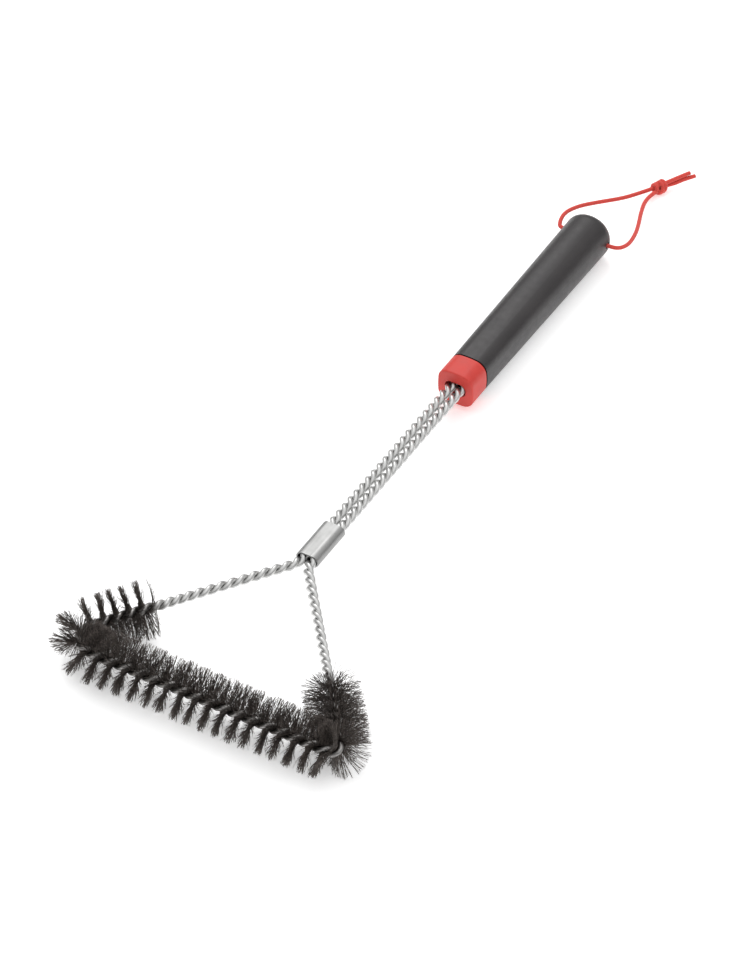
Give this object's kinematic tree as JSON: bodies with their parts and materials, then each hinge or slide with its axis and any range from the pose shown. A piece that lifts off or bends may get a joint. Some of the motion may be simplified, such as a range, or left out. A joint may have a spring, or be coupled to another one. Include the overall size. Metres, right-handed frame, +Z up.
{
  "type": "grill cleaning brush",
  "caption": "Long-handled grill cleaning brush: triangular twisted-wire bristle head, crimped ferrule, rope-like wire stem, collared tapering handle and a knotted hanging cord.",
  "frame": {"origin": "centre of the footprint of the rigid parts, on the surface that the brush lies on; the cord loop is left out of that box", "axes": "+Z up, +Y from the bristle head to the end of the handle, X across the head"},
  "size_m": [0.2018, 0.5399, 0.0344],
  "materials": {
    "wire": "bright galvanised wire, satin",
    "ferrule": "polished steel tube, crimped flat",
    "bristles": null,
    "handle": "charcoal moulded plastic, fine satin grain",
    "handle_core": "black moulded plastic",
    "collar": "red moulded plastic, satin",
    "cord": "red woven round cord"
  },
  "bodies": {
    "brush": {"strand_a_left_stem": "wire", "strand_a_left_arm": "wire", "strand_a_bar": "wire", "strand_a_right_arm": "wire", "strand_a_right_stem": "wire", "strand_b_left_stem": "wire", "strand_b_left_arm": "wire", "strand_b_bar": "wire", "strand_b_right_arm": "wire", "strand_b_right_stem": "wire", "bristles_front": "bristles", "bristles_left_arm": "bristles", "bristles_right_arm": "bristles", "bristles_left_corner": "bristles", "bristles_right_corner": "bristles", "ferrule": "ferrule", "anchor_sleeve": "wire", "collar": "collar", "handle_shell": "handle", "handle_core": "handle_core"},
    "hang_cord": {"cord_through_hole": "cord", "cord_left_leg": "cord", "cord_right_leg": "cord", "cord_knot": "cord", "cord_left_tail": "cord", "cord_right_tail": "cord"}
  },
  "joints": [
    {"name": "hang_cord_swing", "type": "hinge", "parent": "brush", "child": "hang_cord", "pos_m": [-0.00761, 0.22249, 0.0139], "axis": [1, 0, 0], "range_deg": [0, 105]}
  ]
}
